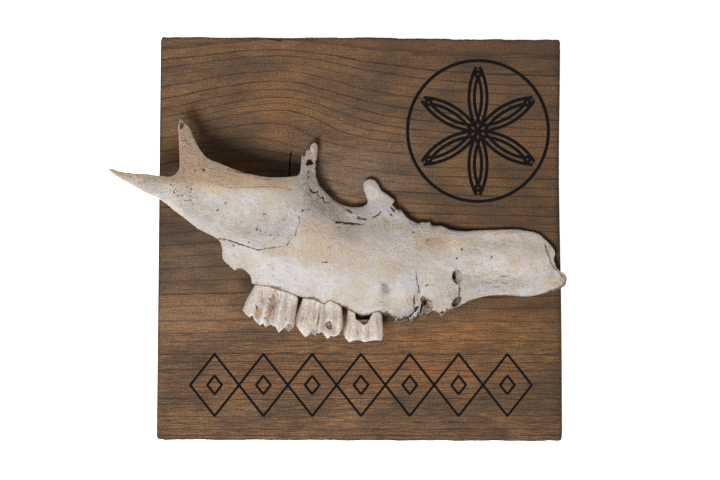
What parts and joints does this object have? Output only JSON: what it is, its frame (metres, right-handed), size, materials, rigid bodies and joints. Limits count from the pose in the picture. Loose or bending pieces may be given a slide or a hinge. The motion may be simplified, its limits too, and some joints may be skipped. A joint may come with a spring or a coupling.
{
  "type": "mounted deer upper jawbone",
  "caption": "Weathered half of a deer's upper jaw with cheek teeth, cheekbone spur and eye socket rim, lying across a square burnt-patterned wooden board.",
  "frame": {"origin": "middle of the board's back, in the plane of the back face", "axes": "+Z points out of the board's front, at whoever looks at it on a wall; +Y is up on the wall; +X is right, towards the snout end of the jaw"},
  "size_m": [0.2275, 0.2025, 0.0679],
  "materials": {
    "wood": "matte",
    "bone": "matte",
    "tooth": "satin"
  },
  "bodies": {
    "root": {"board": "wood", "upper_jaw": "bone", "cheekbone": "bone", "tear_bone": "bone", "back_molar": "tooth", "middle_molar": "tooth", "front_molar": "tooth"}
  },
  "joints": []
}
